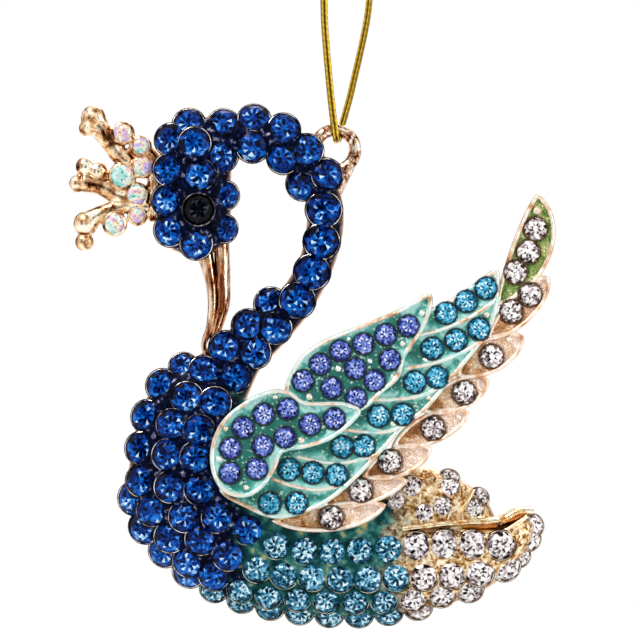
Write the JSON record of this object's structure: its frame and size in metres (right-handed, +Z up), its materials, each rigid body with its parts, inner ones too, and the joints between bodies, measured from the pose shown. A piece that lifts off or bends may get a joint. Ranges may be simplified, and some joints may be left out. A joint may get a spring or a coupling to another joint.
{
  "type": "swan christmas ornament",
  "caption": "Flat hanging swan ornament: hollow-backed cast body with curved neck, crown and layered wing, set with faceted glass stones, and a cord loop through its ring.",
  "frame": {"origin": "centre of the hanging ring's hole", "axes": "+Z up, the front with the stones faces -Y, +X towards the tail; the hollow back faces +Y"},
  "size_m": [0.0605, 0.0111, 0.0924],
  "materials": {
    "rose_gold": "polished rose-gold plating over cast zinc alloy, with teal enamel in the wing's recesses",
    "lilac_glass": "foil-backed cut glass, lilac blue",
    "aqua_glass": "foil-backed cut glass, aqua",
    "clear_glass": "foil-backed cut glass, clear",
    "opal_glass": "cut glass with an iridescent coat",
    "black_glass": "cut black glass",
    "gold_cord": "shiny gold-coloured cord"
  },
  "bodies": {
    "root": {"swan_casting": "rose_gold", "lilac_stone_01": "lilac_glass", "lilac_stone_02": "lilac_glass", "lilac_stone_03": "lilac_glass", "lilac_stone_04": "lilac_glass", "lilac_stone_05": "lilac_glass", "lilac_stone_06": "lilac_glass", "lilac_stone_07": "lilac_glass", "lilac_stone_08": "lilac_glass", "lilac_stone_09": "lilac_glass", "lilac_stone_10": "lilac_glass", "lilac_stone_11": "lilac_glass", "lilac_stone_12": "lilac_glass", "lilac_stone_13": "lilac_glass", "lilac_stone_14": "lilac_glass", "lilac_stone_15": "lilac_glass", "lilac_stone_16": "lilac_glass", "lilac_stone_17": "lilac_glass", "lilac_stone_18": "lilac_glass", "lilac_stone_19": "lilac_glass", "lilac_stone_20": "lilac_glass", "lilac_stone_21": "lilac_glass", "aqua_stone_01": "aqua_glass", "aqua_stone_02": "aqua_glass", "aqua_stone_03": "aqua_glass", "aqua_stone_04": "aqua_glass", "aqua_stone_05": "aqua_glass", "aqua_stone_06": "aqua_glass", "aqua_stone_07": "aqua_glass", "aqua_stone_08": "aqua_glass", "aqua_stone_09": "aqua_glass", "aqua_stone_10": "aqua_glass", "aqua_stone_11": "aqua_glass", "aqua_stone_12": "aqua_glass", "aqua_stone_13": "aqua_glass", "aqua_stone_14": "aqua_glass", "aqua_stone_15": "aqua_glass", "aqua_stone_16": "aqua_glass", "aqua_stone_17": "aqua_glass", "clear_stone_01": "clear_glass", "clear_stone_02": "clear_glass", "clear_stone_03": "clear_glass", "clear_stone_04": "clear_glass", "clear_stone_05": "clear_glass", "clear_stone_06": "clear_glass", "clear_stone_07": "clear_glass", "clear_stone_08": "clear_glass", "clear_stone_09": "clear_glass", "clear_stone_10": "clear_glass", "clear_stone_11": "clear_glass", "crown_stone_1": "opal_glass", "crown_stone_2": "opal_glass", "crown_stone_3": "opal_glass", "crown_stone_4": "opal_glass", "crown_stone_5": "opal_glass", "crown_stone_6": "opal_glass", "crown_stone_7": "opal_glass", "eye_stone": "black_glass", "hanging_cord": "gold_cord", "cord_knot": "gold_cord"}
  },
  "joints": []
}
